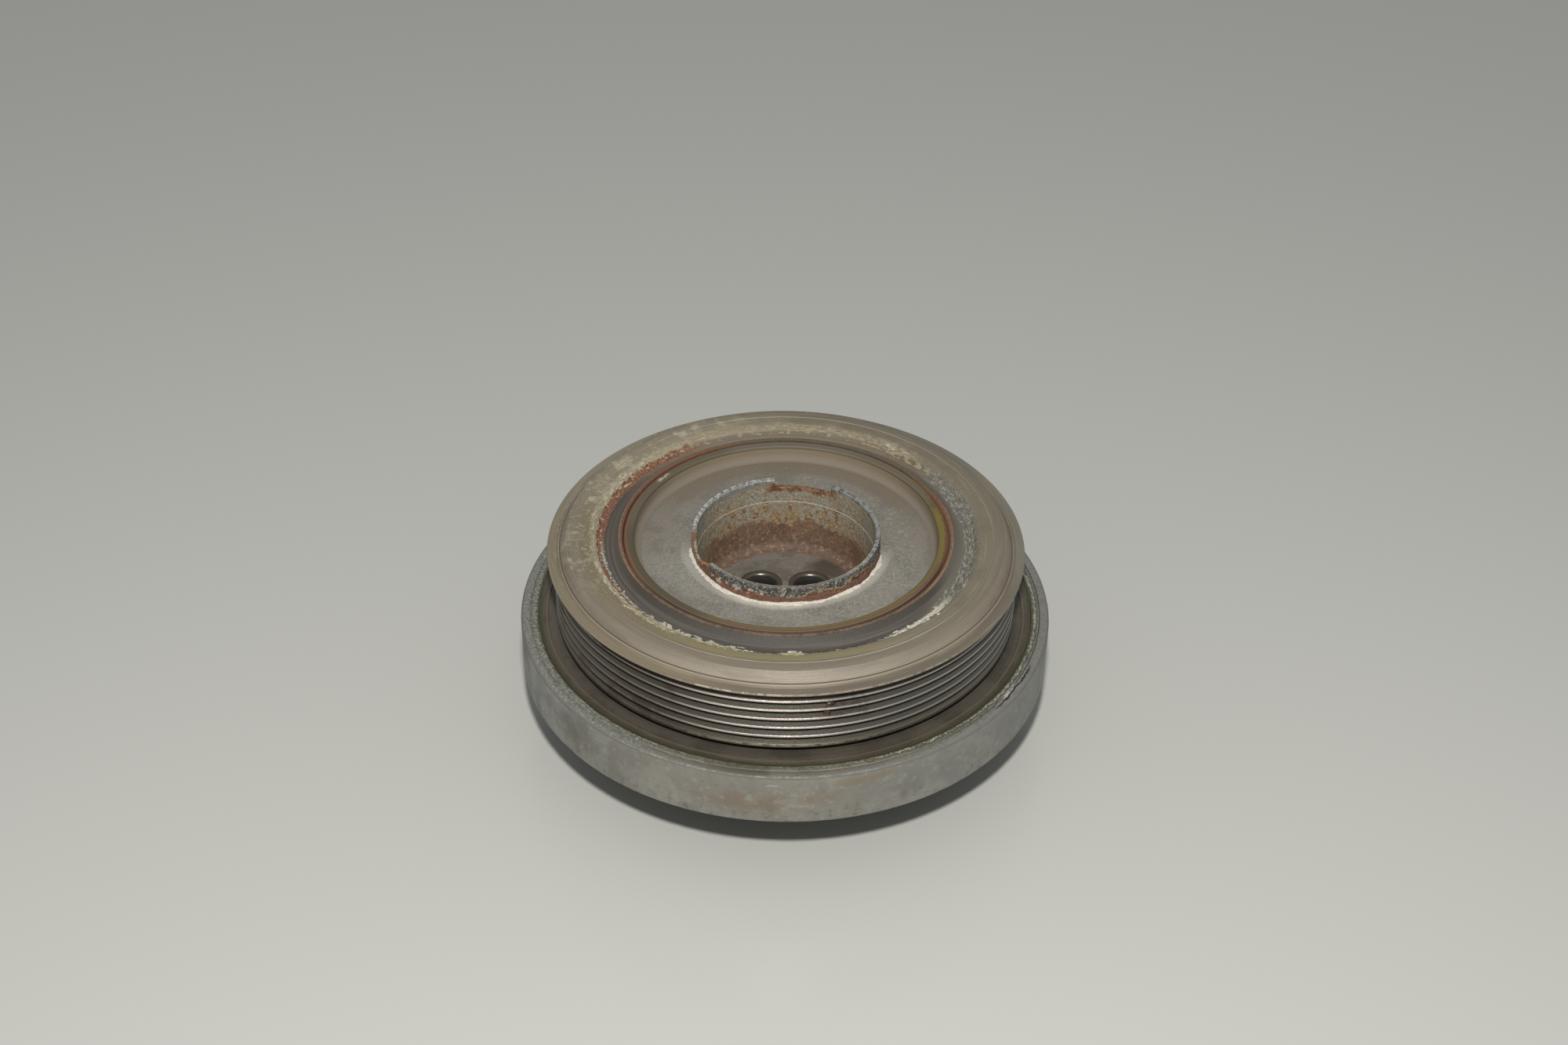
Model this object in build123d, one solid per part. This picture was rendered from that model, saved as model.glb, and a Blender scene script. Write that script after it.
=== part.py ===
from build123d import *
from math import radians, tan
import os

# Crankshaft belt pulley with a torsional vibration damper (harmonic balancer).
# Millimetres. The crank axis is Z. The rear end of the hub's neck lies on Z = 0 and the
# front, the side that faces away from the engine, points to +Z.
# Every piece but the hub's bolt holes and rim gaps is a turned form, drawn as a half
# section of (radius, height) corners and revolved about Z.

# ---- belt grooves: the standard PK belt profile -------------------------------------
groove_count = 6
groove_pitch = 3.56
groove_depth = 2.7
groove_angle = 40.0              # between the two flanks of a groove, degrees
crest_land = 0.7                 # width of the flat that is left between two grooves

# ---- belt pulley ---------------------------------------------------------------------
pulley_radius = 78.0             # over the crests
flange_height = 2.33             # guide flange at the front, above the crests
flange_edge = 0.7                # thickness of that flange at its outer edge
rear_lip = 1.35                  # plain rim behind the last groove, measured over the crests
rim_wall = 3.6                   # metal between the groove bottoms and the rim's bore
flange_land = 3.3                # radial width of the flat band on the guide flange
land_step = 1.3                  # height from that band to the foot of the cone
cone_width = 2.3                 # radial width of the cone that climbs to the face
face_rise = 4.55                 # height of the face above the guide flange
face_wall = 4.0                  # thickness of the pulley's front wall
face_ring = 4.0                  # radial width of the raised turned ring on the face
ring_rise = 0.2                  # height of that ring
crown_drop = 1.8                 # how far the crown rolls down to the rubber
crown_roll = 2.6                 # radius of that roll
tube_wall = 2.6                  # inner tube that the rubber is bonded to
tube_length = 18.5               # length of the tube below the front wall
corner = 0.4                     # broken edges on turned pieces

# ---- plain bearing under the rim -----------------------------------------------------
bush_wall = 1.9
bush_flange = 2.0                # thickness of the bush's flange
cup_rim_wall = 3.0               # upstanding rim of the bearing cup
cup_base = 2.5                   # base of the bearing cup
cup_bend = 2.0                   # inside bend between that base and the rim
tube_clearance = 0.9             # radial gap between the cup's rim and the pulley's tube

# ---- decoupling rubber and its sleeve ------------------------------------------------
decoupler_rubber_wall = 7.0
decoupler_sleeve_wall = 1.6
sleeve_proud = 0.15              # sleeve end above the pulley's face
front_hollow = 2.6               # depth of the trough moulded in the rubber's front
rear_hollow = 2.0                # depth of the trough moulded in its rear
rubber_set_back = 0.5            # rubber edge behind the sleeve's ends

# ---- front carrier -------------------------------------------------------------------
carrier_wall = 3.5               # outer wall, pressed into the sleeve
carrier_disc = 3.0               # thickness of the disc
disc_depth = 5.6                 # disc surface below the pulley's face
carrier_fillet = 2.5             # where disc and wall meet
collar_wall = 3.5                # collar that is pressed on the hub
collar_length = 10.5             # from the disc's surface to the collar's rear end
carrier_rim_drop = 0.3           # carrier rim below the pulley's face

# ---- hub -----------------------------------------------------------------------------
neck_radius = 30.0               # journal for the engine's oil seal
neck_lead = 2.0                  # lead-in chamfer for the seal
crank_bore_radius = 22.0         # fits the crankshaft nose
bore_lead = 1.5
floor_wall = 8.0                 # between the crankshaft's end face and the bolt heads
pot_radius = 30.0                # inside of the front pot
pot_wall = 1.7
pot_fillet = 3.0                 # at the foot of the pot's wall
pot_proud = 0.6                  # pot rim above the pulley's face
pot_rim_bevel = 0.5              # the rim is lower inside than outside
pot_step_height = 19.5           # turned step inside the pot, above its floor
pot_step = 0.15                  # radial size of that step
web_wall = 5.5
web_rise = 1.5                   # web's front above the inertia ring
drum_wall = 4.5
drum_fillet = 3.0

bolt_count = 4
bolt_circle_radius = 12.0
bolt_hole_radius = 5.25
bolt_mouth_radius = 7.25         # rounded mouth of each bolt hole
bolt_start_angle = 45.0

# (start angle, end angle, depth) of the low stretches of the pot's rim, degrees and mm
rim_gaps = [(60.0, 98.0, 3.5), (180.0, 206.0, 5.0), (206.0, 213.0, 2.5)]

# ---- inertia ring and its rubber -----------------------------------------------------
ring_radius = 90.25
ring_width = 20.25               # radial width of the ring
ring_height = 19.1
ring_seat = 25.4                 # height of the ring's rear face above the neck's rear end
ring_edge = 0.9                  # rounding of its outer edges
ring_top_land = 5.4              # width of the flat band round its front
ring_top_step = 0.8              # the front is lower inside that band
ring_step_slope = 2.0            # radial width of the slope down to it
inner_line_inset = 9.25          # fine turned step further in, from the ring's outside
inner_line_step = 0.3
belt_gap = 1.8                   # between the ring's front and the pulley's rear
damper_rubber_wall = 5.5
damper_rubber_set_back = 1.0     # rubber behind the ring's two faces
damper_hollow = 1.2              # meniscus at each end of the rubber

rear_relief_depth = 1.2          # shallow turned relief in the ring's rear face
rear_relief_land = 4.0           # width of the land left outside and inside the relief
balance_hole_radius = 4.0
balance_hole_depth = 6.0
balance_hole_angles = [20.0, 38.0, 205.0]

# ---- heights worked out from the driving sizes ---------------------------------------
ring_top = ring_seat + ring_height
web_top = ring_top + web_rise
pulley_rear = ring_top + belt_gap
flank_rise = tan(radians(groove_angle / 2))
groove_half_mouth = (groove_pitch - crest_land) / 2
last_groove = pulley_rear + rear_lip + groove_half_mouth
first_groove = last_groove + (groove_count - 1) * groove_pitch
flange_under = first_groove + groove_half_mouth + flange_height * flank_rise
flange_top = flange_under + flange_edge
face_top = flange_top + face_rise
face_under = face_top - face_wall
disc_top = face_top - disc_depth
sleeve_top = face_top + sleeve_proud
tube_rear = face_under - tube_length
pot_top = face_top + pot_proud
crank_face = web_top - floor_wall

# ---- radii worked out from the outside in --------------------------------------------
flange_radius = pulley_radius + flange_height
rim_bore = pulley_radius - groove_depth - rim_wall
bush_bore = rim_bore - bush_wall
cup_rim_bore = bush_bore - cup_rim_wall
tube_outer = cup_rim_bore - tube_clearance
tube_inner = tube_outer - tube_wall
sleeve_outer = tube_inner - decoupler_rubber_wall
sleeve_inner = sleeve_outer - decoupler_sleeve_wall
carrier_inner = sleeve_inner - carrier_wall
hub_outer = pot_radius + pot_wall
ring_bore = ring_radius - ring_width
inner_line_radius = ring_radius - inner_line_inset
drum_outer = ring_bore - damper_rubber_wall
drum_inner = drum_outer - drum_wall


def turned(corners, arc=360.0):
    """Revolve a closed half section about Z. A corner is (radius, height) or
    (radius, height, rounding)."""
    points = [(corner[0], corner[1]) for corner in corners]
    roundings = [corner[2] if len(corner) > 2 else 0.0 for corner in corners]
    with BuildPart() as piece:
        with BuildSketch(Plane.XZ):
            with BuildLine():
                FilletPolyline(*points, radius=roundings, close=True)
            make_face()
        revolve(axis=Axis.Z, revolution_arc=arc)
    return piece.part


def belt_side():
    """Corners of the six grooves, from the rear lip up to the guide flange."""
    corners = []
    for index in range(groove_count):
        middle = last_groove + index * groove_pitch
        half_bottom = groove_half_mouth - groove_depth * flank_rise
        corners.append((pulley_radius, middle - groove_half_mouth))
        corners.append((pulley_radius - groove_depth, middle - half_bottom))
        corners.append((pulley_radius - groove_depth, middle + half_bottom))
        if index < groove_count - 1:
            corners.append((pulley_radius, middle + groove_half_mouth))
    corners.append((flange_radius, flange_under))
    return corners


def belt_pulley():
    """U-shaped steel rim: grooved outside, front wall with a rolled crown, inner tube."""
    land_inner = flange_radius - flange_land
    cone_foot = land_inner - land_step / 2
    cone_top = cone_foot - cone_width
    ring_inner = cone_top - face_ring
    face_low = face_top - ring_rise
    front = [
        (flange_radius, flange_top, flange_edge / 4),
        (land_inner, flange_top, corner),
        (cone_foot, flange_top + land_step),
        (cone_top, face_top, 2 * corner),
        (ring_inner, face_top),
        (ring_inner - ring_rise, face_low),
        (tube_inner + crown_roll, face_low, crown_roll / 2),
        (tube_inner, face_top - crown_drop, corner / 2),
    ]
    inside = [
        (tube_inner, tube_rear, corner),
        (tube_outer, tube_rear, corner),
        (tube_outer, face_under),
        (rim_bore, face_under),
        (rim_bore, pulley_rear, corner),
        (pulley_radius, pulley_rear),
    ]
    return turned(belt_side() + front + inside)


def bearing_bush():
    """L-section plain bearing: a sleeve on the cup's rim with a flange over its end."""
    flange_low = face_under - bush_flange
    return turned([
        (bush_bore, pulley_rear + cup_base + corner),
        (rim_bore, pulley_rear + cup_base + corner),
        (rim_bore, face_under),
        (cup_rim_bore, face_under),
        (cup_rim_bore, flange_low),
        (bush_bore, flange_low),
    ])


def bearing_cup():
    """Deep-drawn cup: its base lies on the hub's web and its rim carries the bush."""
    rim_top = face_under - bush_flange
    return turned([
        (hub_outer, web_top),
        (bush_bore, web_top, cup_bend + cup_rim_wall),
        (bush_bore, rim_top),
        (cup_rim_bore, rim_top),
        (cup_rim_bore, web_top + cup_base, cup_bend),
        (hub_outer, web_top + cup_base),
    ])


def rubber_ring(inner, outer, rear, front, rear_dip, front_dip):
    """Bonded rubber ring whose two free faces are hollow arcs."""
    middle = (inner + outer) / 2
    with BuildPart() as piece:
        with BuildSketch(Plane.XZ):
            with BuildLine():
                Line((inner, rear), (inner, front))
                ThreePointArc((inner, front), (middle, front - front_dip), (outer, front))
                Line((outer, front), (outer, rear))
                ThreePointArc((outer, rear), (middle, rear + rear_dip), (inner, rear))
            make_face()
        revolve(axis=Axis.Z)
    return piece.part


def decoupler_rubber():
    """Rubber between the sleeve and the pulley's tube. It flexes a few degrees."""
    front = face_top - crown_drop - rubber_set_back
    rear = tube_rear + rubber_set_back
    return rubber_ring(sleeve_outer, tube_inner, rear, front, rear_hollow, front_hollow / 2)


def decoupler_sleeve():
    """Steel sleeve bonded inside the decoupling rubber."""
    return turned([
        (sleeve_inner, tube_rear),
        (sleeve_outer, tube_rear),
        (sleeve_outer, sleeve_top, corner / 2),
        (sleeve_inner, sleeve_top, corner / 2),
    ])


def front_carrier():
    """Wall in the sleeve, disc, and collar on the hub, turned in one piece."""
    disc_under = disc_top - carrier_disc
    collar_outer = hub_outer + collar_wall
    collar_rear = disc_top - collar_length
    rim_top = face_top - carrier_rim_drop
    return turned([
        (hub_outer, disc_top, corner),
        (carrier_inner, disc_top, carrier_fillet),
        (carrier_inner, rim_top, corner),
        (sleeve_inner, rim_top, corner),
        (sleeve_inner, tube_rear, corner),
        (carrier_inner, tube_rear, corner),
        (carrier_inner, disc_under, carrier_fillet),
        (collar_outer, disc_under, carrier_fillet),
        (collar_outer, collar_rear, corner),
        (hub_outer, collar_rear),
    ])


def hub():
    """Neck, bolting floor, front pot, web and damper drum, forged and turned in one piece."""
    web_rear = web_top - web_wall
    step_height = web_top + pot_step_height
    body = turned([
        (0, crank_face),
        (crank_bore_radius, crank_face),
        (crank_bore_radius, bore_lead),
        (crank_bore_radius + bore_lead, 0),
        (neck_radius - neck_lead, 0),
        (neck_radius, neck_lead),
        (neck_radius, web_rear, drum_fillet),
        (drum_inner, web_rear, drum_fillet),
        (drum_inner, ring_seat + damper_rubber_set_back),
        (drum_outer, ring_seat + damper_rubber_set_back),
        (drum_outer, web_top),
        (hub_outer, web_top),
        (hub_outer, pot_top),
        (pot_radius + pot_step, pot_top - pot_rim_bevel),
        (pot_radius + pot_step, step_height),
        (pot_radius, step_height - pot_step),
        (pot_radius, web_top, pot_fillet),
        (0, web_top),
    ])
    mouths = PolarLocations(bolt_circle_radius, bolt_count, bolt_start_angle)
    body -= Pos(0, 0, web_top) * mouths * bolt_hole()
    for start, end, depth in rim_gaps:
        body -= rim_gap(start, end, depth)
    return body


def bolt_hole():
    """Cutter for one bolt hole with a rounded mouth, measured down from the pot's floor."""
    mouth = bolt_mouth_radius - bolt_hole_radius
    return turned([
        (0, -floor_wall),
        (bolt_hole_radius, -floor_wall),
        (bolt_hole_radius, 0, mouth),
        (bolt_mouth_radius + corner, 0),
        (bolt_mouth_radius + corner, mouth),
        (0, mouth),
    ])


def rim_gap(start, end, depth):
    """Cutter that lowers the pot's rim by a depth between two angles."""
    inner = pot_radius - pot_wall
    outer = hub_outer + pot_wall
    sector = turned([
        (inner, pot_top - depth),
        (outer, pot_top - depth),
        (outer, pot_top + depth),
        (inner, pot_top + depth),
    ], end - start)
    return Rot(0, 0, start) * sector


def inertia_ring():
    """Heavy ring: flat band round the front, lower inside it, relief and balance holes behind."""
    land_inner = ring_radius - ring_top_land
    low = ring_top - ring_top_step
    relief_outer = ring_radius - rear_relief_land
    relief_inner = ring_bore + rear_relief_land
    body = turned([
        (ring_bore, ring_seat, corner),
        (relief_inner, ring_seat),
        (relief_inner + rear_relief_depth, ring_seat + rear_relief_depth),
        (relief_outer - rear_relief_depth, ring_seat + rear_relief_depth),
        (relief_outer, ring_seat),
        (ring_radius, ring_seat, ring_edge),
        (ring_radius, ring_top, ring_edge),
        (land_inner, ring_top, corner),
        (land_inner - ring_step_slope, low),
        (inner_line_radius, low),
        (inner_line_radius - inner_line_step, low - inner_line_step),
        (ring_bore, low - inner_line_step),
    ])
    hole_circle = (relief_inner + relief_outer) / 2
    hole = Cylinder(balance_hole_radius, 2 * (rear_relief_depth + balance_hole_depth))
    for angle in balance_hole_angles:
        body -= Rot(0, 0, angle) * Pos(hole_circle, 0, ring_seat) * hole
    return body


def damper_rubber():
    """Rubber track that lets the inertia ring swing against the hub."""
    front = ring_top - ring_top_step - inner_line_step - damper_rubber_set_back
    rear = ring_seat + damper_rubber_set_back
    return rubber_ring(drum_outer, ring_bore, rear, front, damper_hollow, damper_hollow)


pieces = {
    "hub": hub,
    "damper_rubber": damper_rubber,
    "inertia_ring": inertia_ring,
    "bearing_cup": bearing_cup,
    "bearing_bush": bearing_bush,
    "belt_pulley": belt_pulley,
    "decoupler_rubber": decoupler_rubber,
    "decoupler_sleeve": decoupler_sleeve,
    "front_carrier": front_carrier,
}

os.makedirs("parts", exist_ok=True)
for node, make in pieces.items():
    export_step(make(), f"parts/{node}.step")
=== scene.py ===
import bmesh
import bpy
from functools import partialmethod
from math import atan2, cos, degrees, pi, radians, sin
from mathutils import Matrix, Vector, noise


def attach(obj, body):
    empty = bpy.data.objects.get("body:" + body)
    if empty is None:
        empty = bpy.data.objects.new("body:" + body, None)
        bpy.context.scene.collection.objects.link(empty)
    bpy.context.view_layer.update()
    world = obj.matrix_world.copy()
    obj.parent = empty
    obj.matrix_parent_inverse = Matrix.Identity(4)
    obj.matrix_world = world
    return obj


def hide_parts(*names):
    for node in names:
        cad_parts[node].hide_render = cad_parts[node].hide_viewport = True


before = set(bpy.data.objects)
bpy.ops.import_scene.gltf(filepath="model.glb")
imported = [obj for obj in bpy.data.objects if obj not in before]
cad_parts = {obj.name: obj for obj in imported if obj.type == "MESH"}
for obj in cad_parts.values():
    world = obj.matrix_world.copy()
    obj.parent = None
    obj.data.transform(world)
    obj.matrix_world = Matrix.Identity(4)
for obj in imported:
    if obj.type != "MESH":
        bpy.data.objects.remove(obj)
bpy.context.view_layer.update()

metre = 1000  # in millimetres, which the sizes below are written in


# ---- Bench, light and camera ----------------------------------------------------------
# A plain pale table top that is slightly glossy, one soft lamp above the camera, and the
# even light of a white room. The camera looks down at the pulley's belt side.

def srgb(red, green, blue):
    """Linear colour from the usual 0 to 255 values."""
    def linear(value):
        value = value / 255
        return value / 12.92 if value <= 0.04045 else ((value + 0.055) / 1.055) ** 2.4
    return (linear(red), linear(green), linear(blue), 1.0)


def linked(name, data):
    """An object made of this data and linked to the scene."""
    made = bpy.data.objects.new(name, data)
    bpy.context.collection.objects.link(made)
    return made


bench_half = 6.0
bench_mesh = bpy.data.meshes.new("bench")
bench_mesh.from_pydata(
    [(-bench_half, -bench_half, 0), (bench_half, -bench_half, 0), (bench_half, bench_half, 0),
     (-bench_half, bench_half, 0)], [], [(0, 1, 2, 3)])
bench = linked("bench", bench_mesh)
bench_top = bpy.data.materials.new("bench_top")
bench_top.use_nodes = True
bench_shader = bench_top.node_tree.nodes["Principled BSDF"]
bench_shader.inputs["Base Color"].default_value = srgb(178, 179, 175)
bench_shader.inputs["Roughness"].default_value = 0.22
bench_shader.inputs["Specular IOR Level"].default_value = 0.35
bench_mesh.materials.append(bench_top)

room = bpy.data.worlds.new("room")
room.use_nodes = True
room.node_tree.nodes["Background"].inputs["Color"].default_value = srgb(236, 238, 236)
room.node_tree.nodes["Background"].inputs["Strength"].default_value = 0.46
bpy.context.scene.world = room

lamp_data = bpy.data.lights.new("soft_lamp", "AREA")
lamp_data.shape = "DISK"
lamp_data.size = 0.05
lamp_data.energy = 10.2
lamp_data.color = (1.0, 0.97, 0.93)
lamp = linked("soft_lamp", lamp_data)
lamp_place, lamp_aim = Vector((0.0, -0.64, 0.78)), Vector((0, 0, 0.06))
lamp_turn = (lamp_place - lamp_aim).to_track_quat("Z", "Y").to_matrix().to_4x4()
lamp.matrix_world = Matrix.Translation(lamp_place) @ lamp_turn

camera_data = bpy.data.cameras.new("camera")
camera_data.sensor_width = 36.0
camera_data.lens = 57.28
camera_data.clip_start = 0.01
camera_data.clip_end = 50.0
camera = linked("camera", camera_data)
camera_place = (0.0, -0.6768, 0.5682)
down, side, roll = radians(35.91), radians(-0.064), radians(0.789)
ahead = Vector((sin(side) * cos(down), cos(side) * cos(down), -sin(down)))
level = Vector((cos(side), -sin(side), 0.0))
upright = level.cross(ahead)
right = cos(roll) * level + sin(roll) * upright
top = cos(roll) * upright - sin(roll) * level
turned_to = Matrix((right, top, -ahead)).transposed().to_4x4()
camera.matrix_world = Matrix.Translation(camera_place) @ turned_to
bpy.context.scene.camera = camera
bpy.context.scene.view_settings.view_transform = "Standard"


# ---- Hub --------------------------------------------------------------------------------
# One steel forging, turned all over: rear neck, bolting floor, thin front pot, web and
# damper drum. The pot stood in salt spray: its rim has two low stretches and it is rusty.

def corners(points, steps=4):
    """Section in millimetres from (radius, height) or (radius, height, rounding) corners."""
    section = []
    count = len(points)
    for place, point in enumerate(points):
        here = Vector(point[:2])
        if len(point) < 3:
            section.append(here)
            continue
        back = Vector(points[place - 1][:2]) - here
        on = Vector(points[(place + 1) % count][:2]) - here
        half = back.angle(on) / 2
        reach = min(point[2] / max(1e-6, sin(half) / cos(half)), back.length * 0.49, on.length * 0.49)
        radius = reach * sin(half) / cos(half)
        centre = here + (back.normalized() + on.normalized()).normalized() * (radius / sin(half))
        first = here + back.normalized() * reach - centre
        last = here + on.normalized() * reach - centre
        for step in range(steps + 1):
            between = first.lerp(last, step / steps)
            section.append(centre + between.normalized() * radius)
    return [tuple(point) for point in section]


class Number:
    """A value worked out at each point of a finish or of a shape."""

    def __init__(self, graph, socket):
        self.graph = graph
        self.socket = socket

    def op(self, kind, *others):
        return self.graph.maths(kind, self, *others)

    __add__ = partialmethod(op, "ADD")
    __sub__ = partialmethod(op, "SUBTRACT")
    __mul__ = __rmul__ = partialmethod(op, "MULTIPLY")
    __truediv__ = partialmethod(op, "DIVIDE")
    at_least = partialmethod(op, "MAXIMUM")

    def sway(self, pattern, reach):
        """Shifted to and fro by a cloudy pattern, so that what it bounds runs ragged."""
        return self + (pattern - 0.5) * reach

    def over(self, low, high, top=1.0):
        """0 below low, top above high, smooth between."""
        limits = {"Value": self, "From Min": low, "From Max": high, "To Max": top}
        return self.graph.add("ShaderNodeMapRange", limits, interpolation_type="SMOOTHSTEP")

    def within(self, low, high, soft):
        """1 between low and high, 0 outside, with soft edges."""
        return self.over(low - soft, low + soft) * self.over(high + soft, high - soft)


class Graph:
    """The nodes of one tree, each fed by values and by links."""

    def __init__(self, tree):
        self.tree = tree

    def feed(self, socket, value):
        if isinstance(value, Number):
            value = value.socket
        if isinstance(value, bpy.types.NodeSocket):
            self.tree.links.new(value, socket)
        else:
            socket.default_value = value

    def node(self, kind, inputs, **settings):
        """A new node; inputs says what feeds its sockets, by their names or numbers."""
        node = self.tree.nodes.new(kind)
        for label, value in settings.items():
            setattr(node, label, value)
        for label, value in inputs.items():
            self.feed(node.inputs[label], value)
        return node

    def add(self, kind, inputs, **settings):
        return Number(self, self.node(kind, inputs, **settings).outputs[0])

    def maths(self, kind, *values):
        return self.add("ShaderNodeMath", dict(enumerate(values)), operation=kind)

    def split(self, vector):
        return [Number(self, part) for part in self.node("ShaderNodeSeparateXYZ", {0: vector}).outputs]

    def join(self, x, y, z):
        return self.add("ShaderNodeCombineXYZ", {0: x, 1: y, 2: z})


def shape_group(name, made, inputs):
    """A Geometry Nodes group with named inputs: its graph, and the inputs to work with."""
    tree = bpy.data.node_groups.new(name, "GeometryNodeTree")
    for label, kind in inputs.items():
        tree.interface.new_socket(label, in_out="INPUT", socket_type="NodeSocket" + kind)
    tree.interface.new_socket(made, in_out="OUTPUT", socket_type="NodeSocketGeometry")
    graph = Graph(tree)
    given = graph.node("NodeGroupInput", {}).outputs
    return graph, [Number(graph, given[label]) for label in inputs]


def sent_out(graph, shape, finish):
    """The group's tree, once its shape is made real, given its finish and sent out."""
    real = graph.add("GeometryNodeRealizeInstances", {0: shape})
    dressed = graph.add("GeometryNodeSetMaterial", {"Geometry": real, "Material": finish})
    graph.node("NodeGroupOutput", {0: dressed})
    return graph.tree


def turning_tree():
    """Turns a section about the crank axis and roughens the skin a little along its radius."""
    graph, (section, points, steps, wear_depth, wear_size, finish) = shape_group("turned_piece", "Piece", {
        "Section": "Geometry", "Points": "Int", "Steps": "Int", "Wear depth": "Float", "Wear size": "Float",
        "Finish": "Material"})
    rows = points + 1
    sheet = graph.add("GeometryNodeMeshGrid", {"Vertices X": steps + 1, "Vertices Y": rows})
    index = graph.add("GeometryNodeInputIndex", {})
    step = ((index + 0.5) / rows).op("FLOOR")
    place = (index - step * rows).op("MODULO", points)
    turn = step.op("MODULO", steps) / steps * (2 * pi)
    spot = graph.add("GeometryNodeSampleIndex", {
        "Geometry": section, "Value": graph.add("GeometryNodeInputPosition", {}), "Index": place.op("ROUND"),
    }, data_type="FLOAT_VECTOR")
    radius, _, height = graph.split(spot)
    smooth = graph.join(radius * turn.op("COSINE"), radius * turn.op("SINE"), height)
    grain = graph.add("ShaderNodeTexNoise", {
        "Vector": smooth, "Scale": graph.maths("DIVIDE", 1.0, wear_size), "Detail": 5.0})
    worn = (grain - 0.5).op("MINIMUM", 0.0) * wear_depth
    scale = worn / radius.at_least(0.001) + 1.0
    x, y, _ = graph.split(graph.add("ShaderNodeVectorMath", {0: smooth, "Scale": scale}, operation="SCALE"))
    put = graph.add("GeometryNodeSetPosition", {"Geometry": sheet, "Position": graph.join(x, y, height)})
    closed = graph.add("GeometryNodeMergeByDistance", {"Geometry": put, "Distance": 2e-6})
    return sent_out(graph, closed, finish)


turning = turning_tree()


def grown(tree, base, name, **inputs):
    """Mesh that a node tree makes from a base mesh, as a plain mesh in its place."""
    seed = linked(name + "_seed", base)
    modifier = seed.modifiers.new("make", "NODES")
    modifier.node_group = tree
    sockets = {item.name: item.identifier for item in tree.interface.items_tree if item.in_out == "INPUT"}
    for label, value in inputs.items():
        modifier[sockets[label.replace("_", " ")]] = value
    seen = seed.evaluated_get(bpy.context.evaluated_depsgraph_get())
    mesh = bpy.data.meshes.new_from_object(seen)
    seed.modifiers.clear()
    bpy.data.objects.remove(seed)
    mesh.name = name
    return mesh


def outward(mesh, sharp=32):
    """Point the faces outwards and keep turned edges crisp."""
    work = bmesh.new()
    work.from_mesh(mesh)
    bmesh.ops.dissolve_degenerate(work, edges=work.edges, dist=1e-7)
    bmesh.ops.recalc_face_normals(work, faces=work.faces)
    work.to_mesh(mesh)
    work.free()
    mesh.polygons.foreach_set("use_smooth", [True] * len(mesh.polygons))
    mesh.set_sharp_from_angle(angle=radians(sharp))
    return mesh


def turn_piece(name, section, finish, steps=480, wear=0.0, wear_size=6.0):
    """Turned mesh from a section in millimetres."""
    base = bpy.data.meshes.new(name + "_section")
    base.from_pydata([(r / metre, 0, z / metre) for r, z in section], [], [])
    return grown(turning, base, name, Points=len(section), Steps=steps, Wear_depth=wear / metre,
                 Wear_size=wear_size / metre, Finish=finish)


def waver(x, y, z=0.0):
    """Smooth noise, about -1 to 1."""
    return noise.noise(Vector((x, y, z)))


def around(mesh):
    """Each vertex with its radius, its turn in degrees and its height, in millimetres."""
    for vertex in mesh.vertices:
        turn = degrees(atan2(vertex.co.y, vertex.co.x)) % 360
        yield vertex, vertex.co.xy.length * metre, turn, vertex.co.z * metre


def drilled(mesh, cutters, sharp=32):
    """The mesh once the cutters' meshes are taken out of it."""
    blank, *bits = [linked(part.name, part) for part in (mesh, *cutters)]
    for bit in bits:
        cut = blank.modifiers.new("drill", "BOOLEAN")
        cut.operation, cut.solver, cut.object = "DIFFERENCE", "EXACT", bit
    made = bpy.data.meshes.new_from_object(blank.evaluated_get(bpy.context.evaluated_depsgraph_get()))
    made.name = mesh.name
    for used in (blank, *bits):
        bpy.data.objects.remove(used)
    return outward(made, sharp)


def set_down(mesh, slot, *nodes):
    """Put a finished mesh on the part in place of its plain solids."""
    piece = linked(mesh.name, mesh)
    if nodes:
        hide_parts(*nodes)
    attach(piece, "root")


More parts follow.
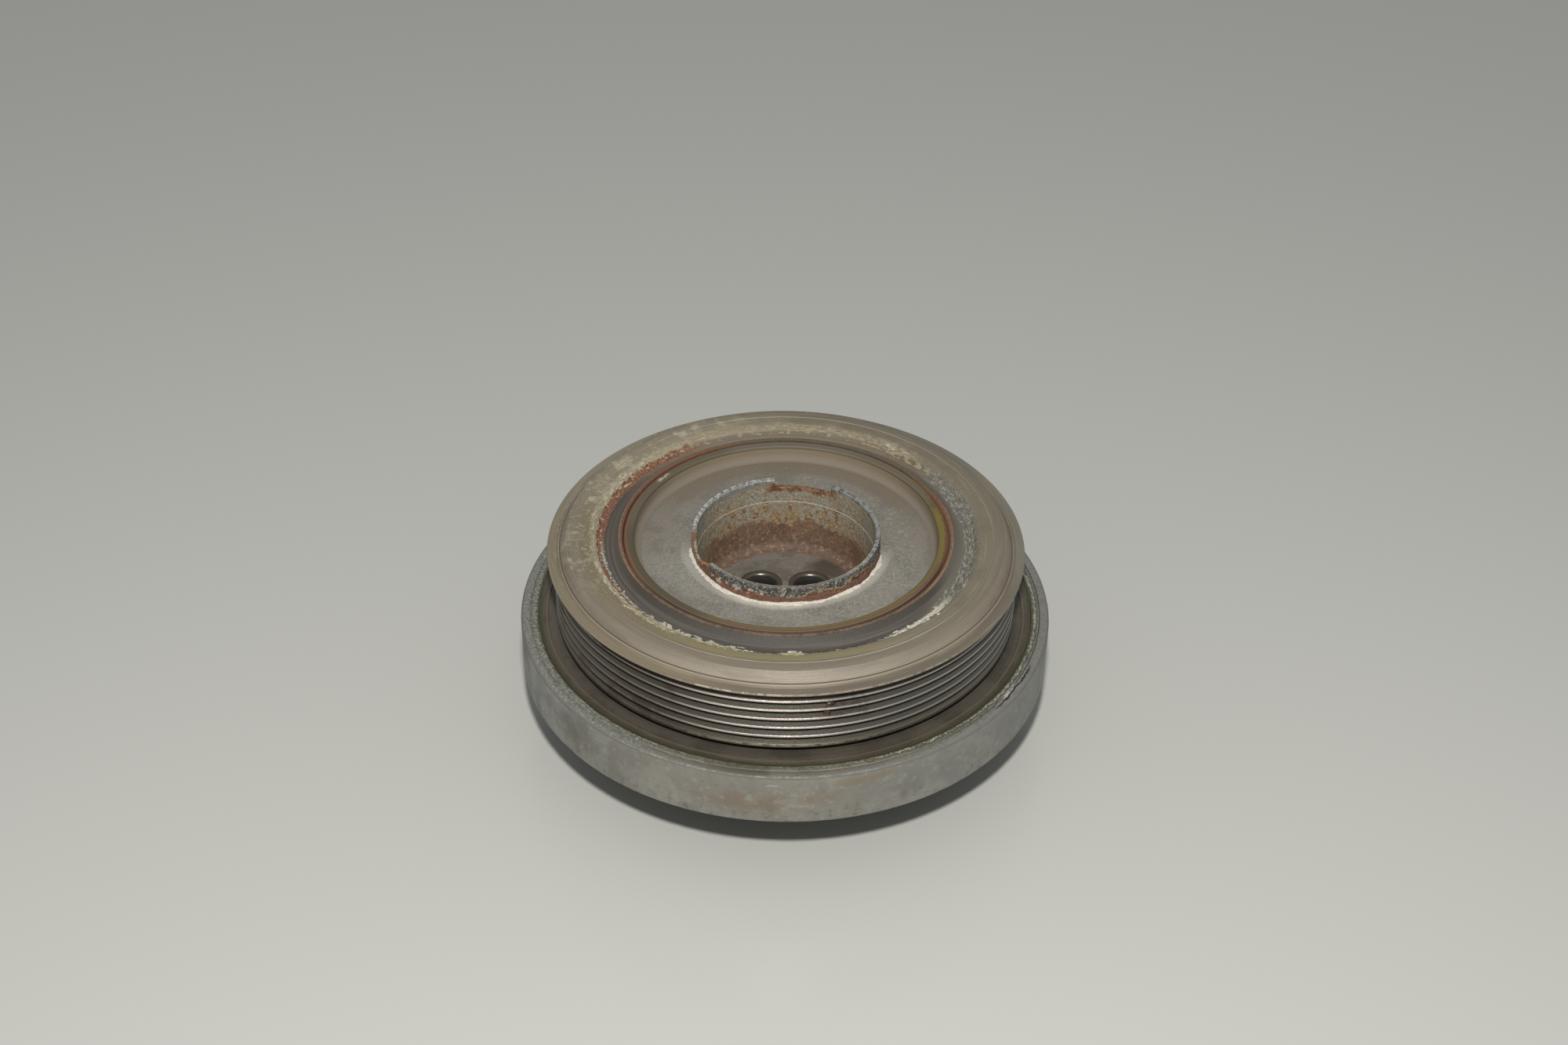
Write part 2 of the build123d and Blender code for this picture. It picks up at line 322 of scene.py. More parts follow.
class Coat(Graph):
    """One finish. r and z are millimetres from the crank axis and the bench; turn is degrees."""

    def __init__(self, name, base):
        self.material = bpy.data.materials.new(name)
        self.material.use_nodes = True
        super().__init__(self.material.node_tree)
        self.colour = srgb(*base)
        self.place = self.node("ShaderNodeTexCoord", {}).outputs["Object"]
        self.x, self.y, self.z = (part * metre for part in self.split(self.place))
        self.r = (self.x * self.x + self.y * self.y).op("SQRT")
        self.turn = self.y.op("ARCTAN2", self.x) * (180 / pi)
        nearer = self.r.at_least(1.0).op("POWER", -1.0)
        self.cross, self.along = self.x * nearer, self.y * nearer

    def noise(self, vector, scale, detail, rough):
        inputs = {"Vector": vector, "Scale": scale, "Detail": detail, "Roughness": rough}
        return self.add("ShaderNodeTexNoise", inputs)

    def grain(self, size, shift=0.0, detail=4.0, rough=0.6):
        """Cloudy pattern, about 0.3 to 0.7, with blotches of a size in millimetres."""
        aside = (shift * 0.37, shift * 0.61, shift * 0.23)
        return self.noise(self.add("ShaderNodeVectorMath", {0: self.place, 1: aside}), metre / size, detail, rough)

    def rings(self, size, sway=1.5, shift=0.0, detail=3.0):
        """Fine turning marks that run round the axis, a size in millimetres apart."""
        level = (self.r + self.z + shift * 50) * (1 / size)
        return self.noise(self.join(self.cross * sway, self.along * sway, level), 1.0, detail, 0.6)

    def arc(self, start, end, soft=8.0):
        """1 between two turns in degrees, counted from the start round to the end."""
        away = (self.turn - (start + end) / 2).op("WRAP", 180.0, -180.0).op("ABSOLUTE")
        half = (end - start) / 2
        return away.over(half + soft, half - soft)

    def lay(self, mask, *coats):
        """Lay coats on the colour, one after another, where the mask is. Each is (red, green, blue),
        followed by its share, or by a pattern with its low, its high and its top share."""
        for red, green, blue, *share in coats:
            pattern, *limits = share or [1.0]
            cover = mask * (pattern.over(*limits) if limits else pattern)
            inputs = {0: cover, 6: self.colour, 7: srgb(red, green, blue)}
            self.colour = self.node("ShaderNodeMix", inputs, data_type="RGBA").outputs[2]

    def dress(self, rough, metal, relief, depth):
        """Send colour, gloss, metal and fine relief (depth in millimetres) to the shader."""
        shader = self.tree.nodes["Principled BSDF"]
        bump = self.add("ShaderNodeBump", {"Distance": depth / metre, "Height": relief})
        given = {"Base Color": self.colour, "Roughness": rough, "Metallic": metal, "Normal": bump}
        for label, value in given.items():
            self.feed(shader.inputs[label], value)
        return self.material


everywhere = 1.0
hole_circle, hole_offset, hole_radius = 12.0, 8.485, 5.25


def hub_finish():
    coat = Coat("hub_steel", (122, 116, 106))
    arc, grain, rings, lay = coat.arc, coat.grain, coat.rings, coat.lay
    r, z = coat.r, coat.z
    cloud, fine, speck = grain(9), grain(0.8, 2), grain(2.6, 5, 7, 0.68)
    dots = grain(1.5, 8, 6, 0.7)
    inside = r.over(30.9, 30.5) * z.over(45.5, 45.9)
    outside = r.within(31.2, 34.0, 0.15) * z.over(68.0, 68.6)
    rim = z.over(73.2, 73.6) * r.over(31.62, 31.45) * r.over(29.0, 29.5)
    back, salt_side = arc(25, 155, 14), arc(100, 180, 6)
    wavy = z.sway(cloud, 9).sway(speck, 9)
    solid_rust = (wavy.over(57.6, 56.4) * back).at_least(wavy.over(54.0, 52.8))
    drips = rings(5.0, 24.0)
    patches = ((speck - 0.5) * 1.2 + (drips - 0.5) * 1.0 + (z - 60.0) * -0.016 + 0.5).over(0.46, 0.56)
    lobes = arc(214, 234, 8) * 2.2 + arc(244, 262, 4) * 1.0 + arc(284, 298, 4) * 1.2
    lobed = z.sway(speck, 5) - (lobes + arc(312, 330, 5) * 1.7)
    foot_rust = outside * lobed.over(71.2, 70.6)
    edge_gold = outside * lobed.within(70.7, 71.3, 0.2)
    notch_rust = outside * arc(176, 219, 2)
    torn = z.sway(speck, 6).sway(drips, 3).within(70.0, 74.0, 0.4) * r.within(29.7, 32.2, 0.2)
    notch_edge = torn * arc(56, 102, 4).at_least(arc(178, 216.5, 1.5))
    across, along = coat.x.op("ABSOLUTE") - hole_offset, coat.y.op("ABSOLUTE") - hole_offset
    from_hole = (across * across + along * along).op("SQRT")
    mouths = from_hole.over(7.5, 7.3) * z.over(37.0, 38.0)
    # painted highlight: a near-white ring round each bolt-hole lip stands in for the glint on its rounded mouth
    painted_lip_glint = from_hole.within(5.3, 5.75, 0.1) * z.within(43.6, 45.0, 0.3)
    # a soft darker patch on the right of the pot floor
    patch_dx, patch_dy = (coat.x - 15).op("ABSOLUTE"), (coat.y - 17).op("ABSOLUTE")
    floor_dark_patch = patch_dx.over(13.0, 2.0) * patch_dy.over(11.0, 2.0)
    floor = z.within(45.0, 46.6, 0.2) * r.over(27.5, 26.0)
    low = z.over(45.0, 43.0) * r.over(20.0, 22.0)
    lay(everywhere, (100, 98, 93, fine, 0.42, 0.62, 0.7))
    lay(outside, (88, 87, 82), (56, 57, 57, speck, 0.42, 0.54), (150, 148, 138, fine, 0.53, 0.6, 0.85),
        (112, 86, 66, dots, 0.58, 0.68))
    lay(inside, (132, 126, 112), (158, 154, 142, fine, 0.5, 0.6, 0.7), (98, 92, 80, fine, 0.46, 0.38, 0.7),
        (134, 118, 90, cloud, 0.46, 0.62, 0.6), (140, 116, 82, back.at_least(0.55) * patches * 0.8),
        (104, 74, 52, patches * dots.over(0.48, 0.56) * back.at_least(0.45)),
        (172, 160, 130, patches * grain(1.1, 13, 5, 0.7).over(0.53, 0.61, 0.85)), (108, 86, 69, solid_rust),
        (92, 70, 56, solid_rust * cloud.over(0.5, 0.62, 0.8)), (86, 70, 58, z.over(51.5, 47.5) * 0.75),
        (138, 112, 86, solid_rust * dots.over(0.52, 0.62, 0.8)),
        (74, 54, 44, solid_rust * dots.over(0.44, 0.36, 0.6)),
        (156, 149, 130, z.within(65.3, 65.65, 0.15) * speck.over(0.4, 0.54, 0.75)),
        (150, 142, 126, z.within(66.9, 67.1, 0.1) * speck.over(0.4, 0.54, 0.6)))
    lay(foot_rust, (92, 70, 56), (70, 50, 41, cloud, 0.5, 0.6, 0.8), (128, 94, 64, dots, 0.56, 0.64))
    lay(edge_gold, (166, 144, 96, arc(268, 340, 8) * dots.over(0.42, 0.52, 0.9)))
    lay(edge_gold + foot_rust, (176, 172, 158, arc(214, 268, 8) * grain(2.0, 31, 5, 0.7).over(0.53, 0.58)))
    lay(foot_rust, (136, 82, 56, arc(205, 262, 10) * grain(2.4, 27, 4, 0.7).over(0.54, 0.6, 0.9)))
    lay(notch_rust, (98, 72, 57, 0.95), (124, 82, 58, dots, 0.5, 0.58, 0.8))
    lay(notch_edge, (126, 92, 66, 0.95), (92, 62, 48, speck, 0.46, 0.56), (152, 122, 84, dots, 0.56, 0.62, 0.8))
    lay(rim, (128, 128, 124), (86, 88, 88, speck, 0.46, 0.58), (84, 80, 74, arc(226, 310, 14) * 0.8),
        (168, 163, 146, arc(200, 340, 14) * r.over(30.75, 30.5) * fine.over(0.38, 0.48)),
        (172, 172, 166, salt_side * dots.over(0.46, 0.52)),
        (100, 102, 102, salt_side * grain(1.2, 3, 5, 0.7).over(0.5, 0.56, 0.9)))
    lay(inside, (120, 122, 120, arc(104, 182, 5) * z.sway(speck, 5).over(71.6, 72.6) * fine.over(0.4, 0.55)))
    lay(floor, (124, 119, 111), (106, 101, 94, cloud, 0.42, 0.62, 0.9), (150, 146, 138, dots, 0.6, 0.66, 0.7),
        (74, 66, 57, floor_dark_patch.sway(cloud, 0.9).over(0.25, 0.9, 0.8)),
        (112, 84, 64, r.sway(speck, 6).over(25.6, 27.2) * 0.8))
    lay(mouths, (104, 100, 94))
    # near-white painted highlight on the bolt-hole lips
    lay(painted_lip_glint, (206, 206, 204))
    lay(low, (104, 96, 86), (92, 72, 56, cloud, 0.5, 0.62, 0.7))
    shine = mouths.at_least(floor * 0.4)
    rough = grain(3, 4) * 0.16 + 0.54 - shine * 0.3
    metal = shine * 0.75 + 0.08
    relief = (fine * 0.6 + speck * inside * 1.2 + foot_rust * speck * 2.0) * (mouths * -1.0 + 1.0)
    return coat.dress(rough, metal, relief, 0.35)


hub_steel = hub_finish()

pot_foot, pot_top, floor_rear, floor_front = 68.9, 75.0, 38.0, 46.0
pot_outer, pot_bore, neck_radius, crank_radius = 31.7, 30.15, 30.0, 22.0
drum_radius, drum_rear = 64.5, 26.4
hub_section = corners([
    (0, floor_rear), (crank_radius, floor_rear), (crank_radius, 1.5), (23.5, 0.0), (28.0, 0.0),
    (neck_radius, 2.0), (neck_radius, 40.5, 3.0), (60.0, 40.5, 3.0), (60.0, drum_rear, 0.4),
    (drum_radius, drum_rear, 0.4), (drum_radius, 46.0, 0.4), (pot_outer, 46.0), (pot_outer, pot_foot),
    *((pot_outer, height) for height in (69.6, 70.3, 71.0, 71.7, 72.4, 73.1, 73.8)),
    (pot_outer, pot_top, 0.45), (30.1, 74.5, 0.35),
    *((pot_bore, height) for height in (73.5, 72.7, 71.9, 71.1, 70.3, 69.5, pot_foot, 65.6)),
    (30.0, 65.4), (30.0, 60.0), (30.0, 54.0), (30.0, floor_front, 3.0), (crank_radius, floor_front),
    (0, floor_front)])


def rim_top(turn):
    """Height of the pot's rim at a turn in degrees, with its two low stretches."""
    chip = waver(turn * 0.9, 4.0) * 0.3 + waver(turn * 0.25, 9.0) * 0.4
    if 60 <= turn <= 98:
        return 71.5 + chip * 0.5
    if 180 <= turn <= 204:
        return 69.9 + chip * 2.2
    if 204 < turn <= 217:
        return 71.0 + (turn - 204) * 0.22 + chip * 2.0
    return pot_top - abs(chip) * (1.0 if turn > 217 or 98 < turn < 180 else 0.5)


hub_mesh = turn_piece("hub_forging", hub_section, hub_steel, steps=720, wear=0.25, wear_size=2.5)
for vertex, radius, turn, height in around(hub_mesh):
    if 29 < radius < 33 and height > pot_foot:
        if radius > 31.2:
            scab = max(0.0, noise.noise(vertex.co * 380) + 0.25) * max(0.0, 1 - abs(height - 70.0) / 2.2)
            blister = 1 + 0.0125 * scab * (0.3 if turn < 170 else 1.0)
        else:
            crust = (98 < turn < 180) * max(0.0, noise.noise(vertex.co * 700) + 0.35)
            blister = 1 - 0.010 * (crust * max(0.0, height - 72.0) / 3.0)
        vertex.co.x *= blister
        vertex.co.y *= blister
        vertex.co.z = (pot_foot + (height - pot_foot) * (rim_top(turn) - pot_foot) / (pot_top - pot_foot)) / metre
outward(hub_mesh)

hole_section = corners([(0, 36.0), (hole_radius, 36.0), (hole_radius, floor_front, 2.0), (7.6, floor_front),
                        (7.6, 48.0), (0, 48.0)], steps=8)
hole_cutter = outward(turn_piece("bolt_hole", hole_section, hub_steel, steps=96))


def bolt_circle_tree():
    """Repeats a cutter on a bolt circle."""
    graph, (cutter, bolts, circle_radius, finish) = shape_group("bolt_circle", "Cutters", {
        "Cutter": "Geometry", "Bolts": "Int", "Circle radius": "Float", "Finish": "Material"})
    circle = graph.add("GeometryNodeMeshCircle", {"Vertices": bolts, "Radius": circle_radius})
    turned_on = graph.add("GeometryNodeTransform", {"Geometry": circle, "Rotation": (0, 0, pi / 4)})
    spots = graph.add("GeometryNodeInstanceOnPoints", {"Points": turned_on, "Instance": cutter})
    return sent_out(graph, spots, finish)


bolt_holes = grown(bolt_circle_tree(), hole_cutter, "bolt_holes", Bolts=4, Circle_radius=hole_circle / metre,
                   Finish=hub_steel)
set_down(drilled(hub_mesh, [bolt_holes]), "rusty_steel", "hub")


# ---- Damper rubber and inertia ring -------------------------------------------------------
# A heavy cast ring hangs on a bonded rubber track round the hub's drum and swings against
# the crank's twist. It is turned outside; its front is greasy under the pulley.

def rubber_finish(name, dusty):
    coat = Coat(name, (46, 43, 40))
    grain, lay = coat.grain, coat.lay
    fine, cloud = grain(0.7, 3), grain(7, 5)
    lay(everywhere, (70, 64, 57, cloud, 0.4, 0.62), (*dusty, fine, 0.5, 0.64, 0.6))
    return coat.dress(grain(2, 6) * 0.2 + 0.6, 0.0, fine, 0.12)


track_outer, track_front = 70.0, 42.3
track_section = corners([
    (drum_radius, drum_rear), (65.5, 27.1), (67.25, 27.6), (69.0, 27.1), (track_outer, drum_rear),
    (track_outer, track_front), (69.0, 41.6), (67.25, 41.2), (65.5, 41.6), (drum_radius, track_front)])
track_rubber = rubber_finish("track_rubber", (92, 82, 70))
set_down(outward(turn_piece("track_rubber", track_section, track_rubber, steps=256, wear=0.2), 60),
         "rubber", "damper_rubber")


def ring_finish():
    coat = Coat("cast_ring", (116, 117, 113))
    arc, grain, rings, lay = coat.arc, coat.grain, coat.rings, coat.lay
    r, z = coat.r, coat.z
    cloud, fine, speck = grain(14), grain(0.8, 2), grain(2.6, 5, 6)
    dots = grain(1.3, 8, 5, 0.7)
    wall = r.over(89.3, 89.9)
    land = r.within(84.5, 89.6, 0.2) * z.over(44.0, 44.3)
    crust = r.within(84.0, 86.9, 0.15) * z.over(43.9, 44.3)
    oily = r.over(84.4, 83.6) * z.over(42.0, 42.6)
    under = z.over(27.2, 26.4) * r.over(89.3, 88.6)
    marks = rings(0.22, 2.0)
    lower = z.over(33.0, 27.0) * wall
    front, left = arc(225, 300, 22), arc(150, 244, 14)
    smudge = wall * arc(254, 280, 7) * z.within(30.0, 38.0, 3.0)
    ragged = r.sway(speck, 3.0).sway(fine, 1.2)
    salt_line = ragged.within(84.9, 85.6, 0.2) * grain(1.0, 7).over(0.44, 0.52)
    corner = r.over(89.2, 89.6) * z.over(43.2, 43.8)
    high = z.over(43.4, 43.8)
    gouge = arc(322, 338, 1.5) * high * r.sway(cloud, 3).sway(speck, 1.6).within(87.8, 88.4, 0.12)
    scuffed = arc(325.5, 331, 0.8) * r.sway(speck, 2).within(86.6, 87.8, 0.2) * high
    lay(everywhere, (98, 98, 93, cloud, 0.42, 0.6, 0.8))
    lay(wall, (140, 140, 134, grain(20, 9), 0.47, 0.62, 0.8), (134, 130, 120, front * 0.55),
        (100, 95, 78, arc(219, 225, 3) * z.within(30.0, 38.0, 3.0) * 0.6))
    lay(smudge, (118, 104, 88, cloud, 0.32, 0.52, 0.75))
    lay(wall, (132, 132, 127, arc(302, 345, 10) * 0.55), (98, 100, 96, speck, 0.56, 0.68, 0.35),
        (144, 145, 140, speck, 0.44, 0.34, 0.5),
        (122, 112, 92, arc(281, 293, 3) * z.sway(cloud, 5).within(39.6, 42.6, 0.8) * 0.7),
        (158, 158, 148, arc(266.6, 269.2, 0.7) * z.sway(speck, 2).within(40.7, 41.3, 0.2) * 0.75),
        (88, 82, 70, lower * speck.over(0.56, 0.66, 0.4)))
    lay(land, (122, 122, 116), (94, 95, 91, fine, 0.5, 0.6, 0.65),
        (106, 103, 95, r.over(87.1, 87.3) * arc(240, 296, 12) * 0.85))
    lay(crust, (114, 115, 107, speck, 0.3, 0.45, 0.8), (82, 83, 74, fine, 0.52, 0.62, 0.7),
        (80, 80, 62, ragged, 85.6, 84.8, 0.85), (92, 93, 74, arc(228, 310, 10) * 0.6),
        (156, 153, 136, salt_line * arc(-74, 70, 12).at_least(0.45)),
        (58, 56, 46, ragged.within(85.8, 86.2, 0.15) * arc(-66, 60, 12) * 0.8))
    lay(land, (154, 155, 150, left * grain(0.9, 12, 4, 0.7).over(0.54, 0.6, 0.8)),
        (78, 79, 76, left * grain(0.9, 15, 4, 0.7).over(0.56, 0.62, 0.7)))
    lay(crust, (164, 162, 144, arc(178, 236, 12) * grain(1.0, 19, 5, 0.7).over(0.56, 0.63, 0.7)))
    lay(everywhere, (74, 71, 60, r.within(86.8, 87.15, 0.06) * land * arc(-60, 60, 20) * 0.8),
        (150, 145, 126, r.within(86.9, 87.15, 0.05) * land * arc(242, 304, 8) * cloud.over(0.36, 0.46)))
    lay(crust, (106, 82, 60, arc(288.8, 290.2, 0.6) * 0.6))
    # painted shade: the rounded outer edge of the front face is darkened to damp the lamp's highlight, with painted
    # highlight dots along its front
    lay(corner, (104, 104, 98, 0.8),
        (142, 140, 128, r.within(89.5, 89.95, 0.1) * arc(236, 290, 10) * dots.over(0.5, 0.56, 0.7)))
    lay(scuffed, (172, 172, 162, fine, 0.42, 0.52))
    lay(gouge, (44, 40, 36))
    lay(oily, (82, 77, 70), (66, 62, 55, cloud, 0.42, 0.6, 0.8), (74, 72, 54, r, 82.4, 83.2),
        (98, 90, 76, marks, 0.5, 0.64, 0.6), (104, 94, 74, r.within(80.9, 81.7, 0.4) * 0.7))
    lay(land, (70, 64, 56, arc(255, 275, 7) * cloud.over(0.38, 0.5, 0.55)))
    lay(under, (94, 92, 88), (104, 84, 66, cloud, 0.52, 0.64, 0.7))
    rough = speck * 0.25 + 0.4 - oily * 0.16 - marks * 0.1 + corner * 0.25
    relief = marks * 0.35 + fine * 0.3 + crust * speck * 2.2 + speck * 0.5
    return coat.dress(rough, 0.25, relief, 0.3)


cast_ring = ring_finish()
ring_rear, ring_front, ring_outer = 25.4, 44.5, 90.2
ring_section = corners([
    (track_outer, ring_rear, 0.4), (74.0, ring_rear), (75.2, 26.6), (85.05, 26.6), (86.25, ring_rear),
    (ring_outer, ring_rear, 0.9), (90.22, 30.0), (90.22, 38.0), (ring_outer, 43.4), (90.0, 44.1),
    (89.4, ring_front), (88.0, ring_front), (87.15, ring_front), (87.05, 44.42), (86.9, 44.42),
    (86.8, ring_front), (85.8, ring_front), (84.8, ring_front, 0.4), (83.4, 43.75), (82.2, 43.7),
    (81.1, 43.7), (80.9, 43.4), (76.0, 43.4), (track_outer, 43.4)])
ring_mesh = turn_piece("inertia_casting", ring_section, cast_ring, steps=720, wear=0.35, wear_size=3.0)
for vertex, radius, turn, height in around(ring_mesh):
    if height > 43.9 and 84.4 < radius < 89.9:
        pit = noise.noise(vertex.co * 900) * 0.1 + noise.noise(vertex.co * 300) * 0.12
        if 322 < turn < 338 and 87.4 < radius < 89:
            pit = -0.25 + pit * 2
        vertex.co.z += min(0.0, pit - 0.02) / metre
outward(ring_mesh, 40)

balance_circle, balance_radius = 80.125, 4.0
balance_section = corners([(0, 24.0), (balance_radius, 24.0), (balance_radius, 32.6), (0, 32.6)])
balance_cutter = outward(turn_piece("balance_drill", balance_section, cast_ring, steps=64))
balance_drills = []
for turn in (20.0, 38.0, 205.0):
    copy = balance_cutter.copy()
    out = Matrix.Translation((balance_circle / metre, 0, 0))
    copy.transform(Matrix.Rotation(radians(turn), 4, "Z") @ out)
    balance_drills.append(copy)
set_down(drilled(ring_mesh, balance_drills, 40), "cast_ring", "inertia_ring")


# ---- Bearing cup and bush ------------------------------------------------------------------
# A deep-drawn cup on the hub carries a dark plastic plain bearing, on which the belt rim
# turns a few degrees. Both sit out of sight under the rim and keep their plain solids.

def plain_finish(name, base, worn, metal, rough):
    coat = Coat(name, base)
    fine = coat.grain(1.4, 2)
    coat.lay(everywhere, (*worn, coat.grain(6), 0.45, 0.62, 0.8))
    return coat.dress(fine * 0.2 + rough, metal, fine + coat.rings(0.4), 0.06)


cup_steel = plain_finish("cup_steel", (112, 108, 100), (84, 74, 62), 0.5, 0.35)
bush_plastic = plain_finish("bush_plastic", (44, 43, 42), (60, 56, 50), 0.0, 0.5)
for node, finish in (("bearing_cup", cup_steel), ("bearing_bush", bush_plastic)):
    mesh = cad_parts[node].data
    mesh.materials.clear()
    mesh.materials.append(finish)


# ---- Belt pulley -----------------------------------------------------------------------------
# Formed and turned steel: six polished V grooves, a guide flange, a cone up to a flat face,
# and a face that rolls down to the rubber. Coolant and salt left pale blotches on its face.

def pulley_finish():
    coat = Coat("pulley_steel", (122, 111, 96))
    arc, grain, rings, lay = coat.arc, coat.grain, coat.rings, coat.lay
    r, z = coat.r, coat.z
    cloud, fine, speck = grain(11), grain(0.7, 2), grain(2.2, 5, 6, 0.68)
    dots = grain(1.2, 9, 5, 0.7)
    marks, wide_marks, flakes = rings(0.16, 2.5), rings(1.1, 3.0, 4), rings(0.8, 26.0)
    face = z.over(69.2, 69.5)
    band = face * r.over(76.9, 77.1)
    cone = face * r.within(73.75, 75.95, 0.08) * z.over(70.6, 70.9)
    line = face * r.within(69.55, 69.85, 0.05)
    bead_highlight = face * r.within(76.25, 76.75, 0.08)
    step_groove_shade = face * r.within(75.9, 76.15, 0.05)
    inner = face * r.over(69.6, 69.4)
    crown = face * r.within(69.8, 73.7, 0.08)
    grooved = face * -1.0 + 1.0
    outer = grooved * r.over(74.6, 75.0)
    crest = outer * r.over(77.78, 77.92)
    rear_crest = outer * z.over(48.5, 48.2)
    rear_crest_glint = rear_crest * grain(2.2, 31, 4.0).over(0.44, 0.54, 0.8)
    groove_bottom_shade = outer * r.over(76.2, 75.6)
    edge = z.over(69.3, 69.6) * r.over(79.75, 80.0)
    near, blotch_back = arc(232, 312, 26), arc(108, 204, 14)
    streak_back = inner * arc(46, 128, 10) * r.sway(cloud, 4).within(63.6, 66.4, 0.7)
    fringe = inner * arc(228, 296, 10) * r.over(66.5, 64.2)
    white_corner = inner * arc(300, 328, 4) * r.over(64.8, 64.0)
    mottled = inner * arc(325, 390, 10) * r.sway(cloud, 4).over(65.0, 64.2)
    left_edge = inner * arc(128, 238, 10) * r.sway(speck, 5).sway(cloud, 4).over(66.2, 65.2)
    painted_flange_glint = edge * arc(246, 274, 10).at_least(arc(274, 316, 8) * 0.4)
    left_bright = left_edge * arc(192, 238, 12).at_least(0.55)
    lip = inner * arc(122, 214, 8) * r.sway(speck, 2.5).over(63.8, 63.4)
    lay(band, (124, 113, 98), (128, 122, 107, arc(80, 215, 25) * 0.8),
        (108, 105, 94, arc(-75, 75, 25) * 0.85), (105, 96, 83, arc(240, 340, 16) * 0.9),
        (98, 91, 80, arc(280, 345, 8) * 0.8), (116, 107, 88, arc(162, 252, 8) * 0.8))
    # painted highlight: a pale line on the flange's outer top edge, strongest at the front
    lay(painted_flange_glint, (172, 162, 147, speck, 0.44, 0.54, 0.8))
    # painted light on the cone's front: its colour is toned down there, with a painted highlight growing towards
    # its outer edge
    lay(cone, (120, 112, 99), (114, 107, 96, near), (138, 130, 117, near * r.over(74.0, 75.6)))
    lay(crown, (113, 105, 91))
    lay(inner, (111, 102, 87))
    lay(crown + inner, (108, 102, 88, arc(-90, 70, 30) * 0.7), (128, 120, 103, arc(95, 170, 20) * 0.8))
    lay(inner, (112, 102, 78, arc(170, 235, 12) * r.over(65.0, 66.0) * cloud.over(0.38, 0.52, 0.8)))
    lay(face, (140, 130, 114, wide_marks, 0.54, 0.68, 0.32), (96, 88, 74, wide_marks, 0.46, 0.36, 0.3))
    lay(inner, (98, 92, 77, cloud, 0.5, 0.62, 0.45), (104, 95, 72, arc(165, 262, 14) * 0.45))
    lay(face, (158, 150, 132, blotch_back * speck.over(0.52, 0.64, 0.55) * r.over(78.6, 76.6)),
        (166, 158, 134, blotch_back * cloud.over(0.53, 0.64, 0.5) * r.over(76.6, 73.0)),
        (168, 161, 142, blotch_back * grain(9, 21).over(0.54, 0.64, 0.7) * r.within(67.5, 75.0, 1.0)))
    lay(streak_back, (130, 120, 98, speck, 0.44, 0.58, 0.7), (156, 147, 120, rings(0.5, 30.0), 0.52, 0.6, 0.8),
        (124, 112, 84, cloud, 0.52, 0.64, 0.5))
    lay(fringe, (148, 138, 104, speck, 0.44, 0.56, 0.8), (176, 170, 152, dots, 0.56, 0.64))
    lay(inner, (123, 115, 84, arc(238, 300, 12) * r.within(64.8, 68.4, 0.6) * 0.75))
    lay(white_corner, (196, 191, 176, flakes, 0.45, 0.51))
    lay(mottled, (100, 97, 88, 0.7), (138, 136, 126, dots, 0.5, 0.56, 0.9), (80, 77, 70, fine, 0.52, 0.58, 0.8))
    lay(inner, (186, 183, 168, r.over(65.4, 64.6) * flakes.over(0.55, 0.59) * arc(49, 58, 3) * 0.7))
    lay(mottled, (170, 170, 162, flakes.over(0.5, 0.56) * arc(330, 342, 5)))
    lay(left_edge, (154, 145, 120, arc(190, 238, 12).at_least(0.45) * 0.85))
    lay(left_bright, (192, 186, 164, flakes, 0.5, 0.57, 0.8))
    lay(left_edge, (122, 108, 82, dots, 0.47, 0.4, 0.8))
    lay(lip, (116, 78, 58), (90, 58, 46, dots, 0.46, 0.54, 0.8), (176, 146, 112, fine, 0.56, 0.64, 0.8))
    # painted highlight: a pale line on the rounded inner edge of the raised face, mostly at the front
    lay(line, (198, 190, 170, arc(238, 318, 16).at_least(0.1)))
    # painted highlight on the small bead, mostly at the front
    lay(bead_highlight, (146, 137, 122, arc(200, 330, 20) * 0.5))
    # painted shade: the narrow turned groove at the cone's foot is darkened all round
    lay(step_groove_shade, (78, 70, 58))
    lay(outer, (108, 105, 99), (90, 85, 76, r.over(76.8, 77.5) * 0.4))
    # the pale crest colour is belt wear; the brighter layer on the front crests is a painted highlight
    lay(crest, (158, 157, 152), (226, 214, 206, arc(242, 286, 14) * wide_marks.over(0.3, 0.5)))
    lay(rear_crest, (108, 103, 92, 0.92))
    # painted highlight: a pale dotted line on the rear lip's crest at the front
    lay(rear_crest_glint, (206, 194, 172, z.within(46.9, 47.5, 0.15) * arc(238, 290, 12)))
    # painted shade and dark tarnish in the groove bottoms
    lay(groove_bottom_shade, (58, 48, 39))
    lay(outer, (94, 86, 76, arc(196, 250, 14) * 0.6),
        (82, 66, 52, arc(190, 246, 14) * cloud.over(0.5, 0.64, 0.6)))
    lay(grooved, (64, 58, 52, r, 74.6, 74.2))
    wet = outer * arc(279.5, 291, 2.5) * z.over(54.0, 58.0)
    lay(wet, (58, 44, 34, speck, 0.4, 0.55, 0.35))
    rough = fine * 0.14 + 0.46 - outer * 0.24 + inner * 0.1
    metal = outer * 0.6 + 0.14 - inner * 0.08
    relief = marks * 0.4 * face + fine * 0.25 + inner * speck * 0.9
    return coat.dress(rough, metal, relief, 0.25)


